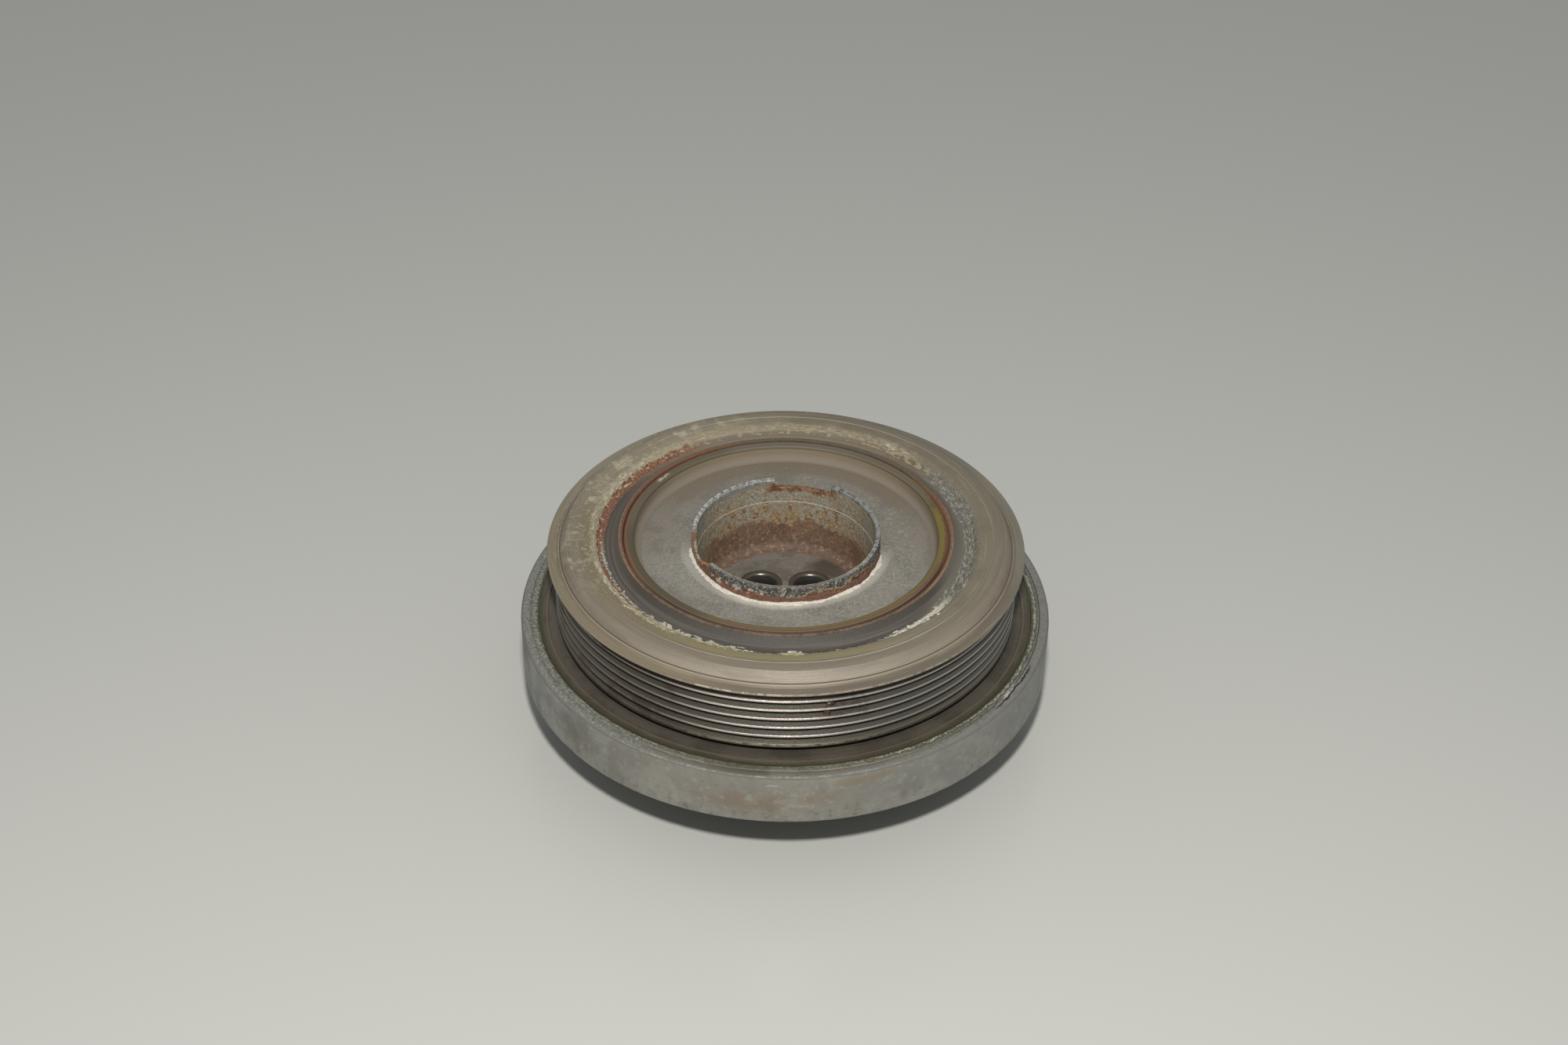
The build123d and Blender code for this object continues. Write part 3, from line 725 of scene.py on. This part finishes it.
pulley_steel = pulley_finish()
groove_pitch, groove_depth, first_groove, grooves = 3.56, 2.7, 49.08, 6
crest, half_mouth, half_bottom = 78.0, 1.43, 0.447
rim_rear, rim_bore, tube_outer, tube_bore, tube_rear = 46.3, 71.7, 65.9, 63.3, 51.9
grooved_side = [(rim_bore, rim_rear, 0.4), (crest, rim_rear, 0.3)]
for groove in range(grooves):
    middle = first_groove + groove * groove_pitch
    grooved_side += [(crest, middle - half_mouth, 0.16), (crest - groove_depth, middle - half_bottom, 0.2),
                     (crest - groove_depth, middle + half_bottom, 0.2)]
    if groove < grooves - 1:
        grooved_side.append((crest, middle + half_mouth, 0.16))
front_side = [
    (80.3, 69.14, 0.2), (80.3, 69.86, 0.25), (77.2, 69.98, 0.3), (76.78, 70.75), (76.6, 70.95), (76.35, 70.98),
    (76.15, 70.86), (75.98, 70.86), (75.86, 71.1), (73.9, 74.2), (73.6, 74.4), (69.9, 74.4), (69.7, 74.2),
    (67.5, 74.16), (66.0, 74.1), (65.0, 73.85), (64.1, 73.35), (63.5, 72.75), (tube_bore, 72.2),
]
inner_side = [(tube_bore, 71.0), (tube_bore, tube_rear, 0.4), (tube_outer, tube_rear, 0.4), (tube_outer, 70.4),
              (rim_bore, 70.4)]
pulley_section = corners(grooved_side, 2) + corners(front_side, 3) + corners(inner_side, 3)
pulley_mesh = turn_piece("grooved_rim", pulley_section, pulley_steel, steps=640, wear=0.08, wear_size=4.0)
set_down(outward(pulley_mesh, 34), "turned_steel", "belt_pulley")


# ---- Decoupling rubber ------------------------------------------------------------------------
# Natural rubber moulded between the rim's tube and the sleeve, with a hollow front. It is dark
# and dry, with fine turning lines, and salt has crept over its outer edge.

def decoupler_finish():
    coat = Coat("decoupler_rubber", (96, 86, 72))
    arc, grain, rings, lay = coat.arc, coat.grain, coat.rings, coat.lay
    r = coat.r
    cloud, fine, speck = grain(7), grain(0.6, 3), grain(1.8, 5, 6, 0.68)
    dots, marks = grain(1.1, 8, 5, 0.7), rings(0.5, 1.2, 0.0, 2.0)
    front = coat.z.over(70.0, 70.6)
    dark = arc(150, 335, 14)
    outer = front * r.over(60.6, 61.8)
    streaks = rings(0.8, 26.0)
    salted = front * r.sway(cloud, 4).over(59.4, 60.4) * arc(-36, 36, 10)
    red = front * r.sway(speck, 2).over(60.9, 61.4) * arc(124, 188, 8)
    red = red.at_least(front * r.sway(speck, 2).over(62.2, 62.7) * arc(180, 226, 6))
    crust = front * arc(186, 236, 6) * r.sway(speck, 2).within(61.2, 62.3, 0.3)
    lay(everywhere, (106, 93, 76, cloud, 0.45, 0.6, 0.7))
    lay(dark, (70, 66, 61, 0.9), (56, 53, 50, marks, 0.47, 0.57, 0.7), (92, 87, 80, marks, 0.45, 0.36, 0.55))
    lay(outer, (110, 94, 72, arc(52, 128, 10) * speck.over(0.38, 0.5, 0.85)))
    lay(front, (94, 90, 82, arc(-36, 40, 12) * 0.8),
        (106, 98, 85, arc(60, 124, 14) * r.over(57.6, 58.2) * 0.8),
        (58, 55, 48, arc(205, 335, 12) * r.over(58.1, 57.6)))
    lay(salted, (100, 98, 91), (74, 72, 66, fine, 0.5, 0.58), (134, 131, 120, streaks, 0.5, 0.57))
    lay(front, (102, 78, 58, arc(10, 130, 14) * r.over(58.4, 57.2) * speck.over(0.42, 0.56, 0.6)))
    lay(red, (116, 80, 57), (88, 57, 46, dots, 0.46, 0.54, 0.8), (172, 140, 106, fine, 0.56, 0.64, 0.7))
    lay(crust, (150, 146, 134, dots, 0.42, 0.5, 0.9), (200, 196, 182, fine, 0.52, 0.6, 0.9))
    lay(outer, (128, 122, 108, arc(234, 300, 8) * speck.over(0.52, 0.6, 0.9)),
        (196, 192, 177, arc(300, 328, 4) * speck.over(0.42, 0.52)))
    relief = marks * 0.5 + fine * 0.5 + outer * speck * 2.0
    return coat.dress(fine * 0.2 + 0.55, 0.0, relief, 0.3)


sleeve_outer, sleeve_bore = 56.3, 54.7
decoupler_section = corners([
    (sleeve_outer, 52.4), (58.0, 53.6), (59.8, 54.2), (61.6, 53.6), (tube_bore, 52.4), (tube_bore, 72.25),
    (62.9, 71.95), (62.3, 71.7), (61.5, 71.42), (60.6, 71.3), (59.8, 71.32), (59.0, 71.55), (58.3, 71.95),
    (57.6, 72.5), (57.0, 73.15), (56.6, 73.65), (sleeve_outer, 74.0),
])
decoupler_mesh = turn_piece("decoupler_ring", decoupler_section, decoupler_finish(), steps=512, wear=0.25,
                            wear_size=1.6)
set_down(outward(decoupler_mesh, 50), "rubber", "decoupler_rubber")


# ---- Decoupler sleeve -------------------------------------------------------------------------
# A thin steel sleeve bonded inside the rubber and pressed on the carrier. Only its end face
# shows, and that has rusted to a rough brown line.

def sleeve_finish():
    coat = Coat("sleeve_steel", (92, 76, 60))
    arc, grain, lay = coat.arc, coat.grain, coat.lay
    fine, speck, cloud = grain(0.7, 3), grain(2.0, 5, 6), grain(8)
    sides = arc(98, 208, 10).at_least(arc(-36, 26, 8))
    lay(everywhere, (72, 58, 46, speck, 0.42, 0.6),
        (104, 72, 54, arc(98, 205, 10) * speck.over(0.4, 0.54, 0.95)),
        (116, 82, 54, arc(-32, 24, 8) * speck.over(0.38, 0.5, 0.9)),
        (100, 84, 68, arc(225, 336, 12) * cloud.over(0.42, 0.58, 0.8)),
        (64, 41, 32, arc(216, 345, 12) * coat.r.over(55.2, 54.95)),
        (134, 110, 88, coat.r.over(55.75, 55.95) * arc(98, 212, 10).at_least(arc(-36, 20, 8)) * 0.8))
    lay(sides, (106, 72, 53, coat.r.over(55.5, 55.3) * speck.over(0.3, 0.42)))
    lay(everywhere, (84, 77, 64, arc(22, 110, 8) * 0.9), (120, 106, 86, fine, 0.58, 0.68, 0.6),
        (72, 54, 42, coat.r.over(55.1, 54.85) * 0.7),
        (124, 94, 68, coat.r.over(55.15, 54.95) * arc(-38, 36, 10) * 0.85))
    return coat.dress(fine * 0.2 + arc(22, 150, 12) * 0.25 + 0.6, 0.05, fine + speck * 2.0, 0.35)


sleeve_section = corners([
    (sleeve_bore, tube_rear), (sleeve_outer, tube_rear), (sleeve_outer, 73.6), (56.25, 74.3, 0.2), (55.9, 74.55),
    (55.3, 74.5), (55.0, 74.2), (54.8, 73.6)], 3)
sleeve_mesh = turn_piece("decoupler_sleeve_rusted", sleeve_section, sleeve_finish(), steps=900, wear=0.2,
                         wear_size=1.0)
ragged_above = 0.0741
for vertex in sleeve_mesh.vertices:
    if vertex.co.z > ragged_above:
        scale = noise.noise(vertex.co * 700) * 0.22 + noise.noise(vertex.co * 260) * 0.2
        vertex.co.z += min(0.0, scale - 0.03) / metre
set_down(outward(sleeve_mesh, 50), "rusty_steel", "decoupler_sleeve")


# ---- Front carrier ------------------------------------------------------------------------------
# A zinc-coated turned steel ring: rim pressed in the sleeve, disc, and collar on the pot. The
# coating is matt grey with pale salt specks, and the rim has gone olive and gold.

def carrier_finish():
    coat = Coat("zinc_steel", (110, 102, 90))
    arc, grain, rings, lay = coat.arc, coat.grain, coat.rings, coat.lay
    r, z = coat.r, coat.z
    cloud, fine, speck = grain(12), grain(0.5, 2), grain(2.0, 5, 6)
    marks = rings(0.3, 3.0)
    top = z.over(68.0, 68.6)
    rim = z.over(72.9, 73.4)
    wall = top * r.over(48.6, 49.8) * z.over(73.6, 73.0)
    disc = top * r.over(49.4, 48.4)
    front, far = arc(188, 352, 22), arc(36, 144, 14)
    salt = grain(1.2, 7, 4.0, 0.8)
    pitted = disc * (r + (cloud - 0.5) * 18 - front * 8).over(42.5, 36.5)
    flecked = disc * r.sway(cloud, 18).within(35.0, 44.5, 1.5) * arc(-40, 64, 16)
    foot = disc * r.over(39.5, 34.5)
    white_foot = foot * r.sway(salt, 3).sway(cloud, 4).over(36.0, 33.2)
    lay(disc, (119, 113, 104), (128, 123, 114, front), (102, 97, 88, cloud, 0.46, 0.6, 0.6))
    lay(pitted, (100, 97, 91, salt, 0.46, 0.38, 0.5), (146, 146, 141, salt, 0.53, 0.6, 0.6))
    lay(flecked, (150, 150, 145, grain(1.3, 23, 6.0, 0.75), 0.55, 0.6, 0.6),
        (98, 95, 90, grain(1.3, 26, 6.0, 0.75), 0.56, 0.62, 0.6))
    lay(pitted, (117, 118, 114, speck, 0.52, 0.6, 0.5))
    lay(disc, (150, 149, 141, grain(0.55, 17, 2.0), 0.58, 0.66, 0.5),
        # painted shade: the disc's outer back part is darkened to damp the lamp's highlight near the fillet
        (112, 102, 88, arc(25, 150, 16) * r.over(41.0, 44.0) * 0.85))
    # painted shade: a dark band at the foot of the back wall
    lay(top, (64, 58, 50, far * r.over(49.3, 50.0) * z.over(71.0, 70.4) * 0.9))
    lay(foot,
        (152, 150, 142, arc(186, 352, 14) * (salt * 0.5 + r.over(38.0, 33.4) * 0.5).over(0.36, 0.62, 0.9)))
    lay(white_foot, (190, 186, 174, arc(236, 290, 12).at_least(arc(290, 348, 10) * 0.45) * 0.9))
    lay(wall, (118, 109, 97), (126, 114, 95, arc(-24, 148, 12) * z.over(70.0, 71.2)),
        (76, 63, 48, front * z.over(69.2, 70.2) * 0.9), (54, 44, 34, front * z.over(71.6, 73.0) * 0.8))
    lay(rim, (90, 80, 60), (116, 103, 52, arc(-32, 22, 12) * cloud.over(0.32, 0.5)),
        (106, 87, 66, arc(226, 340, 14)),
        (110, 98, 56, arc(236, 350, 14) * r.over(52.8, 52.2) * marks.over(0.3, 0.42)),
        (104, 95, 78, arc(22, 62, 7)), (108, 101, 89, arc(60, 116, 8) * 0.85),
        (97, 90, 74, arc(116, 180, 8)), (86, 77, 58, arc(180, 240, 8)),
        (110, 77, 58, arc(118, 208, 12) * r.sway(speck, 2.5).over(53.1, 53.7)),
        (98, 68, 50, arc(-38, 32, 10) * r.sway(speck, 1.5).over(53.1, 53.7)),
        (86, 68, 52, r.over(54.2, 54.45) * 0.5), (122, 92, 68, arc(-38, 36, 10) * r.over(54.1, 54.3) * 0.8),
        (58, 38, 29, arc(216, 345, 14) * r.over(53.85, 54.02)),
        (172, 166, 146, arc(141, 147, 1.5) * r.sway(speck, 3).within(52.5, 53.3, 0.3)),
        (66, 54, 42, r.over(51.9, 51.4) * front * 0.7))
    outer_rim = rim * r.over(53.3, 53.8)
    rough = fine * 0.15 + 0.46 - rim * 0.1 + outer_rim * 0.3 + far * r.over(48.6, 49.2) * 0.3
    relief = marks * 0.4 + salt * disc * 1.0 + speck * 0.3
    return coat.dress(rough, (rim - outer_rim) * 0.2 + 0.16, relief, 0.22)


disc_top, disc_rear, carrier_bore, collar_outer = 68.8, 65.8, 51.2, 35.2
carrier_section = corners([
    (pot_outer, disc_top), (36.0, disc_top), (42.0, disc_top), (carrier_bore, disc_top, 2.5),
    (carrier_bore, 73.9, 0.35), (51.6, 74.12, 0.2), (53.9, 74.12, 0.3), (54.55, 73.5, 0.2),
    (sleeve_bore, 72.8), (sleeve_bore, tube_rear, 0.4), (carrier_bore, tube_rear, 0.4),
    (carrier_bore, disc_rear, 2.5), (collar_outer, disc_rear, 2.5),
    (collar_outer, 58.3, 0.4), (pot_outer, 58.3),
], 5)
carrier_mesh = turn_piece("zinc_carrier", carrier_section, carrier_finish(), steps=640, wear=0.06, wear_size=2.0)
set_down(outward(carrier_mesh, 40), "zinc_coated_steel", "front_carrier")


# ---- Salt and rust crust ---------------------------------------------------------------------------
# White salt crust has grown on the disc round the foot of the pot, on the front half, and in
# ragged flakes along the outer edge of the decoupling rubber. Loose grains lie by both.

def crust_finish(name, pale, dull, stained, share):
    coat = Coat(name, pale)
    arc, grain, lay = coat.arc, coat.grain, coat.lay
    fine, speck = grain(0.6, 3), grain(1.7, 5, 6)
    lay(everywhere, (*dull, fine, 0.46, 0.62, 0.8), (*stained, speck.over(0.62 - share, 0.7 - share, 0.9)),
        (*stained, arc(214, 262, 10) * speck.over(0.58 - share, 0.64 - share, 0.8)))
    return coat.dress(fine * 0.1 + 0.78, 0.0, fine + speck, 0.35)


def arc_share(turn, start, end, soft):
    """1 between two turns in degrees, falling off over soft degrees at each end."""
    middle, half = (start + end) / 2, (end - start) / 2
    away = abs((turn - middle + 180) % 360 - 180)
    return max(0.0, min(1.0, (half + soft - away) / (2 * soft)))


def crust_piece(name, under, finish, growth, steps=1080):
    """Crust over a line of (radius, height) points; growth gives its thickness, and where it is
    negative the crust dips into the metal and doesn't show."""
    thick, deepest = 0.9, 0.6
    mesh = turn_piece(name, under + [(r, z - thick) for r, z in reversed(under)], finish, steps=steps)
    tops = {(round(r, 3), round(z, 3)) for r, z in under}
    for vertex, radius, turn, height in around(mesh):
        if (round(radius, 3), round(height, 3)) in tops:
            vertex.co.z += max(-deepest, growth(radius, turn, vertex.co)) / metre
    set_down(outward(mesh, 70), "zinc_coated_steel")


def foot_growth(radius, turn, place):
    ragged = waver(turn * 0.16, 3.0) + 0.6 * waver(turn * 0.6, 7.0)
    width = 1.9 - 0.7 * arc_share(turn, 186, 222, 8) + 0.8 * ragged + 0.8 * arc_share(turn, 223, 232, 4)
    share = arc_share(turn, 184, 352, 8)
    fall = max(0.0, 1 - (radius - pot_outer) / width)
    tall = (0.62 + 0.25 * ragged) * min(1.0, 0.45 + (radius - pot_outer) / 1.3)
    crumbs = 0.12 * noise.noise(place * 500) + 0.06 * noise.noise(place * 1300)
    body = tall * fall ** 1.4 + crumbs * min(1.0, fall * 3)
    return body * share - (1 - share) * 0.6 - (0.08 if fall > 0 else 0.4)


foot_line = [(31.6, 69.0), (32.0, 69.0), (32.5, 68.95), (33.0, 68.9), (33.6, 68.85), (34.2, 68.82),
             *((radius, disc_top) for radius in (34.8, 35.4, 36.0, 36.7, 37.4, 38.2, 39.0))]
foot_crust = crust_finish("foot_salt", (200, 196, 184), (172, 166, 152), (140, 116, 92), -0.01)
crust_piece("pot_foot_crust", foot_line, foot_crust, foot_growth)


def rust_growth(radius, turn, place):
    share = arc_share(turn, 226, 348, 8)
    lobe = arc_share(turn, 246, 262, 5) + arc_share(turn, 286, 298, 5) + arc_share(turn, 314, 330, 5)
    near = max(-1.0, min(1.0, (32.3 + 0.35 * lobe + 0.3 * noise.noise(place * 260) - radius) / 0.5))
    return near * (1.5 + 0.6 * lobe + 0.9 * noise.noise(place * 500)) * share - (1 - share) * 0.6 - 0.1


rust_line = [(31.55, 69.3), (31.75, 69.3), (31.95, 69.2), (32.2, 69.1), (32.5, 69.0), (32.8, 68.9),
             (33.2, disc_top), (33.8, disc_top)]
foot_rust = crust_finish("foot_rust", (98, 68, 54), (72, 47, 39), (128, 84, 58), 0.04)
crust_piece("pot_foot_rust", rust_line, foot_rust, rust_growth)


fringe_spans = (
    (0.9, 192, 236, 6), (1.25, 228, 262, 3), (0.62, 262, 298, 6), (1.4, 268, 276.5, 1.5), (1.05, 300, 328, 3),
    (0.8, 329, 342, 3), (0.64, 326, 420, 8), (0.64, -34, 62, 8), (0.22, 62, 122, 8), (0.52, 118, 192, 8))


def fringe_growth(radius, turn, place):
    share = max(full * arc_share(turn, *span) for full, *span in fringe_spans)
    middle = 62.9 - 0.5 * arc_share(turn, 228, 266, 6) + 0.6 * waver(turn * 0.12, 2.0)
    near = 1 - abs(radius - middle) / (0.7 + 0.8 * share)
    flakes = waver(turn * 0.45, radius * 1.5, 5.0) + 0.5 * noise.noise(place * 900)
    grown_to = 0.8 * (share * 0.6 + near * 0.42 + flakes * 0.8 - 0.72)
    return grown_to if grown_to < 0.1 else 0.1 + (grown_to - 0.1) * 0.45


fringe_line = [
    (60.2, 71.28), (60.8, 71.3), (61.4, 71.42), (61.9, 71.55), (62.3, 71.72), (62.7, 71.9), (63.0, 72.05),
    (63.25, 72.25), (63.45, 72.7), (63.75, 73.05), (64.1, 73.35), (64.5, 73.6), (65.0, 73.85), (65.5, 74.0),
    (66.0, 74.1), (66.6, 74.13), (67.3, 74.16)]


def fringe_finish():
    coat = Coat("fringe_salt", (142, 133, 114))
    arc, grain, lay = coat.arc, coat.grain, coat.lay
    r = coat.r
    front, right = arc(232, 298, 4), arc(-34, 40, 8)
    left, rusty = arc(184, 236, 8), arc(122, 226, 8)
    fine, speck = grain(0.6, 3), grain(1.7, 5, 6)
    lay(everywhere, (118, 111, 97, fine, 0.44, 0.6, 0.8), (202, 197, 182, arc(299, 342, 4)),
        (166, 158, 136, arc(128, 236, 8) * 0.9))
    lay(left, (206, 202, 188, r.over(62.4, 62.0) * fine.over(0.42, 0.52)))
    lay(rusty, (116, 77, 57, r.sway(speck, 2).within(61.0, 63.5, 0.2) * speck.over(0.4, 0.48)),
        (90, 58, 46, r.over(63.9, 63.5) * speck.over(0.56, 0.63)))
    lay(front, (150, 146, 135), (210, 207, 196, grain(0.9, 9, 5, 0.7), 0.5, 0.56),
        (92, 88, 80, grain(0.9, 14, 5, 0.7), 0.55, 0.61))
    lay(everywhere, (166, 154, 108, arc(230, 298, 5) * r.over(63.4, 63.9) * 0.8))
    lay(right, (104, 101, 93), (146, 143, 132, grain(0.9, 11, 5, 0.7), 0.52, 0.6, 0.8),
        (134, 121, 92, r.over(64.0, 64.5) * speck.over(0.4, 0.52)))
    lay(everywhere, (140, 128, 102, arc(40, 100, 8) * 0.85))
    return coat.dress(fine * 0.1 + 0.76, 0.0, fine + speck, 0.35)


crust_piece("rubber_edge_crust", fringe_line, fringe_finish(), fringe_growth)


def grains_tree():
    """Strews small grains over a ground mesh."""
    graph, (ground, density, smallest, largest, seed, finish) = shape_group("strewn_grains", "Grains", {
        "Ground": "Geometry", "Density": "Float", "Smallest": "Float", "Largest": "Float", "Seed": "Int",
        "Finish": "Material"})
    spread = graph.add("GeometryNodeDistributePointsOnFaces", {"Mesh": ground, "Density": density, "Seed": seed})
    lump = graph.add("GeometryNodeMeshIcoSphere", {"Radius": 1.0, "Subdivisions": 1})
    sizes = {2: smallest, 3: largest, "Seed": seed}
    size = graph.node("FunctionNodeRandomValue", sizes, data_type="FLOAT").outputs[1]
    full_turn = 6.28
    turns = {1: (full_turn, full_turn, full_turn), "Seed": seed}
    tilt = graph.add("FunctionNodeRandomValue", turns, data_type="FLOAT_VECTOR")
    laid = graph.add("GeometryNodeInstanceOnPoints", {
        "Points": spread, "Instance": lump, "Rotation": tilt, "Scale": size})
    return sent_out(graph, laid, finish)


grains = grains_tree()


def strew(name, inner, outer, height, start, end, density, smallest, largest, seed, steps=36):
    """Grains on a flat arc; sizes are millimetres and density is grains per square centimetre."""
    spots, faces = [], []
    for step in range(steps + 1):
        turn = radians(start + (end - start) * step / steps)
        spots += [(r * cos(turn) / metre, r * sin(turn) / metre, height / metre) for r in (inner, outer)]
    for step in range(steps):
        faces.append((2 * step, 2 * step + 1, 2 * step + 3, 2 * step + 2))
    per_square_metre = density * 1e4
    ground = bpy.data.meshes.new(name + "_ground")
    ground.from_pydata(spots, [], faces)
    mesh = grown(grains, ground, name, Density=per_square_metre, Smallest=smallest / metre, Largest=largest / metre,
                 Seed=seed, Finish=loose_salt)
    set_down(mesh, "zinc_coated_steel")


loose_salt = crust_finish("loose_salt", (168, 165, 156), (142, 139, 131), (140, 118, 92), -0.05)
strew("disc_grains", 33.5, 40.0, 68.82, 195, 350, 90, 0.05, 0.17, 3)
strew("disc_dust", 34.0, 48.0, 68.8, 0, 359, 22, 0.04, 0.1, 5)
strew("face_grains_left", 64.5, 68.5, 74.12, 186, 238, 60, 0.05, 0.15, 7)
strew("face_grains_back", 63.8, 69.0, 74.1, 40, 124, 40, 0.04, 0.13, 11)
strew("face_grains_right", 64.2, 67.0, 74.05, -34, 60, 40, 0.04, 0.13, 13)


# ---- Oil dabs -------------------------------------------------------------------------------------
# Two wet dabs of dark oil cling to the grooves near the front, a little to the right.

def oil_finish():
    coat = Coat("wet_oil", (40, 28, 20))
    coat.lay(everywhere, (64, 44, 28, coat.grain(0.8), 0.4, 0.6))
    return coat.dress(coat.grain(1.5, 4) * 0.06 + 0.05, 0.0, coat.grain(1.0, 2), 0.05)


wet_oil = oil_finish()
oil_radius, oil_depth = 77.35, 0.55
for name, turn, height, wide, tall in (
        ("oil_dab_high", 280.9, 63.4, 1.5, 0.9), ("oil_dab_low", 280.2, 59.7, 1.2, 0.9)):
    drop = bmesh.new()
    bmesh.ops.create_uvsphere(drop, u_segments=32, v_segments=20, radius=1.0)
    for vertex in drop.verts:
        lumpy = 1 + 0.35 * noise.noise(vertex.co * 1.6 + Vector((height, 0, 0)))
        x, y, z = vertex.co
        spot = Vector((x * oil_depth * lumpy + oil_radius, y * wide * lumpy, z * tall * lumpy + height))
        vertex.co = spot / metre
    bmesh.ops.rotate(drop, verts=drop.verts, cent=(0, 0, 0), matrix=Matrix.Rotation(radians(turn), 3, "Z"))
    mesh = bpy.data.meshes.new(name)
    drop.to_mesh(mesh)
    drop.free()
    mesh.materials.append(wet_oil)
    set_down(outward(mesh, 80), "turned_steel")
